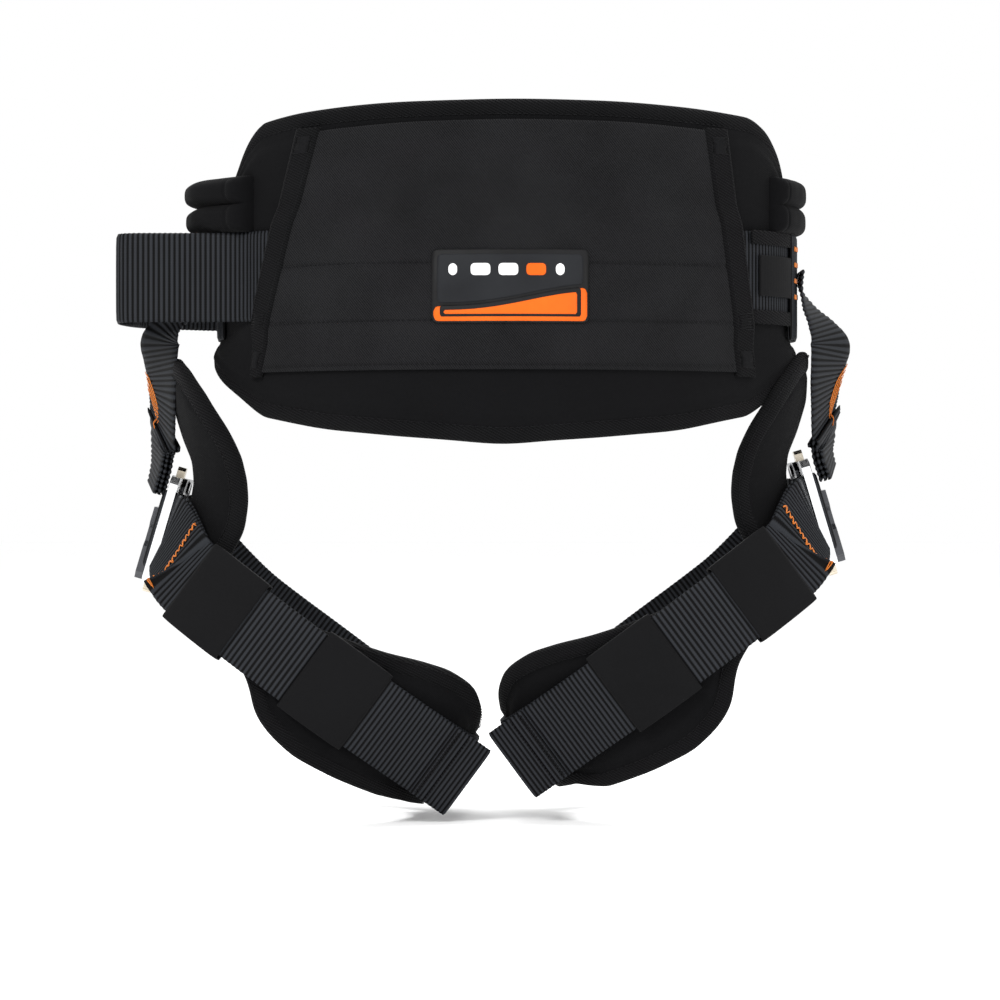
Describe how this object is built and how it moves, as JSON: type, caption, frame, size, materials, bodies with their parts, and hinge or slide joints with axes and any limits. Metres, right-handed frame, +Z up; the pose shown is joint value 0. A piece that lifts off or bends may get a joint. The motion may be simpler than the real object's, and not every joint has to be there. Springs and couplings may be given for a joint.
{
  "type": "tree climbing saddle",
  "caption": "Padded waist belt with cover panel and label, riser straps, padded leg loops, quick-connect buckles and D-rings, shown in its worn shape.",
  "frame": {"origin": "centre of the waist opening at the height of the waist belt", "axes": "+Z up along the wearer's body, -Y towards the wearer's back pad, +X towards the wearer's right"},
  "size_m": [0.4174, 0.2525, 0.3918],
  "materials": {
    "cover_fabric": "twill weave",
    "elastic": "smooth elastic",
    "gunmetal": "anodised",
    "label_black": "moulded rubber",
    "label_grey": "moulded rubber",
    "label_orange": "moulded rubber",
    "lever_brass": "plated",
    "pad_fabric": "padded nylon",
    "polished": "polished",
    "ring_metal": "satin",
    "steel": "brushed",
    "tape_fabric": "herringbone tape",
    "thread": "bonded thread",
    "webbing": "ribbed nylon webbing"
  },
  "bodies": {
    "waist": {"back_pad": "pad_fabric", "cover_panel": "cover_fabric", "panel_tape_left": "tape_fabric", "panel_tape_right": "tape_fabric", "pad_binding_top": "tape_fabric", "pad_binding_bottom": "tape_fabric", "label_frame": "label_black", "label_plate": "label_grey", "label_band": "label_orange", "side_roll_left": "pad_fabric", "side_roll_right": "pad_fabric", "waist_belt": "webbing", "belt_keeper": "elastic", "hip_tab_left": "webbing", "hip_tab_right": "webbing", "hip_bartacks": "thread", "front_ring_loops": "webbing", "waist_frame": "polished", "waist_cover_plates": "gunmetal", "waist_rivets": "steel"},
    "waist_buckle_tongue": {"waist_tongue": "polished", "waist_belt_end": "webbing"},
    "waist_upper_lever": {"waist_lever_upper": "lever_brass"},
    "waist_lower_lever": {"waist_lever_lower": "lever_brass"},
    "hip_ring_left": {"hip_dring_left": "ring_metal"},
    "front_ring_left": {"front_dring_left": "ring_metal"},
    "leg_loop_left": {"riser_left": "webbing", "riser_stitching_left": "thread", "hip_pad_left": "pad_fabric", "leg_pad_left": "pad_fabric", "leg_webbing_left": "webbing", "buckle_frame_left": "polished", "cover_plates_left": "gunmetal", "rivets_left": "steel"},
    "leg_tongue_left": {"tongue_left": "polished", "strap_end_left": "webbing", "strap_bartack_left": "thread"},
    "leg_upper_lever_left": {"lever_upper_left": "lever_brass"},
    "leg_lower_lever_left": {"lever_lower_left": "lever_brass"},
    "outer_keeper_left": {"keeper_outer_left": "elastic"},
    "inner_keeper_left": {"keeper_inner_left": "elastic"},
    "hip_ring_right": {"hip_dring_right": "ring_metal"},
    "front_ring_right": {"front_dring_right": "ring_metal"},
    "leg_loop_right": {"riser_right": "webbing", "riser_stitching_right": "thread", "hip_pad_right": "pad_fabric", "leg_pad_right": "pad_fabric", "leg_webbing_right": "webbing", "buckle_frame_right": "polished", "cover_plates_right": "gunmetal", "rivets_right": "steel"},
    "leg_tongue_right": {"tongue_right": "polished", "strap_end_right": "webbing", "strap_bartack_right": "thread"},
    "leg_upper_lever_right": {"lever_upper_right": "lever_brass"},
    "leg_lower_lever_right": {"lever_lower_right": "lever_brass"},
    "outer_keeper_right": {"keeper_outer_right": "elastic"},
    "inner_keeper_right": {"keeper_inner_right": "elastic"}
  },
  "joints": [
    {"name": "waist_tongue_slide", "type": "slide", "parent": "waist", "child": "waist_buckle_tongue", "axis": [1, 0, 0], "range_m": [0, 0.024]},
    {"name": "waist_lever_upper_hinge", "type": "hinge", "parent": "waist", "child": "waist_upper_lever", "pos_m": [-0.015, 0.1195, 0.0265], "axis": [0, 1, 0], "range_deg": [0, 5], "stiffness_Nm_per_rad": 0.08, "springref_deg": -6.88},
    {"name": "waist_lever_lower_hinge", "type": "hinge", "parent": "waist", "child": "waist_lower_lever", "pos_m": [-0.015, 0.1195, -0.0265], "axis": [0, -1, 0], "range_deg": [0, 5], "stiffness_Nm_per_rad": 0.08, "springref_deg": -6.88},
    {"name": "hip_ring_hinge_left", "type": "hinge", "parent": "waist", "child": "hip_ring_left", "pos_m": [-0.18935, 0.06214, 0.011], "axis": [0.8131, 0.5821, 0], "range_deg": [0, 95]},
    {"name": "hip_ring_hinge_right", "type": "hinge", "parent": "waist", "child": "hip_ring_right", "pos_m": [0.14644, 0.06433, 0.011], "axis": [0.6691, -0.7431, 0], "range_deg": [0, 95]},
    {"name": "front_ring_hinge_left", "type": "hinge", "parent": "waist", "child": "front_ring_left", "pos_m": [-0.09166, 0.10489, 0.011], "axis": [0.891, 0.454, 0], "range_deg": [0, 95]},
    {"name": "front_ring_hinge_right", "type": "hinge", "parent": "waist", "child": "front_ring_right", "pos_m": [0.09166, 0.10489, 0.011], "axis": [0.891, -0.454, 0], "range_deg": [0, 95]},
    {"name": "leg_swing_left", "type": "hinge", "parent": "waist", "child": "leg_loop_left", "pos_m": [-0.167, 0.0066, -0.008], "axis": [1, 0, 0], "range_deg": [-15, 15]},
    {"name": "leg_tongue_slide_left", "type": "slide", "parent": "leg_loop_left", "child": "leg_tongue_left", "axis": [0, -1, 0], "range_m": [0, 0.024]},
    {"name": "leg_lever_upper_hinge_left", "type": "hinge", "parent": "leg_loop_left", "child": "leg_upper_lever_left", "pos_m": [-0.18754, 0.027, -0.11551], "axis": [0.9588, 0, -0.284], "range_deg": [0, 5], "stiffness_Nm_per_rad": 0.08, "springref_deg": -6.88},
    {"name": "leg_lever_lower_hinge_left", "type": "hinge", "parent": "leg_loop_left", "child": "leg_lower_lever_left", "pos_m": [-0.20259, 0.027, -0.16633], "axis": [-0.9588, 0, 0.284], "range_deg": [0, 5], "stiffness_Nm_per_rad": 0.08, "springref_deg": -6.88},
    {"name": "outer_keeper_slide_left", "type": "hinge", "parent": "leg_loop_left", "child": "outer_keeper_left", "pos_m": [-0.1142, 0.041, -0.2132], "axis": [0.5948, 0, 0.8039], "range_deg": [-4, 6]},
    {"name": "inner_keeper_slide_left", "type": "hinge", "parent": "leg_loop_left", "child": "inner_keeper_left", "pos_m": [-0.1142, 0.041, -0.2132], "axis": [0.5948, 0, 0.8039], "range_deg": [-6, 6]},
    {"name": "leg_swing_right", "type": "hinge", "parent": "waist", "child": "leg_loop_right", "pos_m": [0.167, 0.0066, -0.008], "axis": [1, 0, 0], "range_deg": [-15, 15]},
    {"name": "leg_tongue_slide_right", "type": "slide", "parent": "leg_loop_right", "child": "leg_tongue_right", "axis": [0, -1, 0], "range_m": [0, 0.024]},
    {"name": "leg_lever_upper_hinge_right", "type": "hinge", "parent": "leg_loop_right", "child": "leg_upper_lever_right", "pos_m": [0.17004, 0.027, -0.10581], "axis": [0.9588, 0, 0.284], "range_deg": [0, 5], "stiffness_Nm_per_rad": 0.08, "springref_deg": -6.88},
    {"name": "leg_lever_lower_hinge_right", "type": "hinge", "parent": "leg_loop_right", "child": "leg_lower_lever_right", "pos_m": [0.1851, 0.027, -0.15663], "axis": [-0.9588, 0, -0.284], "range_deg": [0, 5], "stiffness_Nm_per_rad": 0.08, "springref_deg": -6.88},
    {"name": "outer_keeper_slide_right", "type": "hinge", "parent": "leg_loop_right", "child": "outer_keeper_right", "pos_m": [0.0967, 0.041, -0.2035], "axis": [0.5948, 0, -0.8039], "range_deg": [-4, 6]},
    {"name": "inner_keeper_slide_right", "type": "hinge", "parent": "leg_loop_right", "child": "inner_keeper_right", "pos_m": [0.0967, 0.041, -0.2035], "axis": [0.5948, 0, -0.8039], "range_deg": [-6, 6]}
  ],
  "couplings": [
    {"joint": "waist_lever_lower_hinge", "follows": "waist_lever_upper_hinge", "ratio": 1},
    {"joint": "leg_lever_lower_hinge_left", "follows": "leg_lever_upper_hinge_left", "ratio": 1},
    {"joint": "leg_lever_lower_hinge_right", "follows": "leg_lever_upper_hinge_right", "ratio": 1}
  ]
}
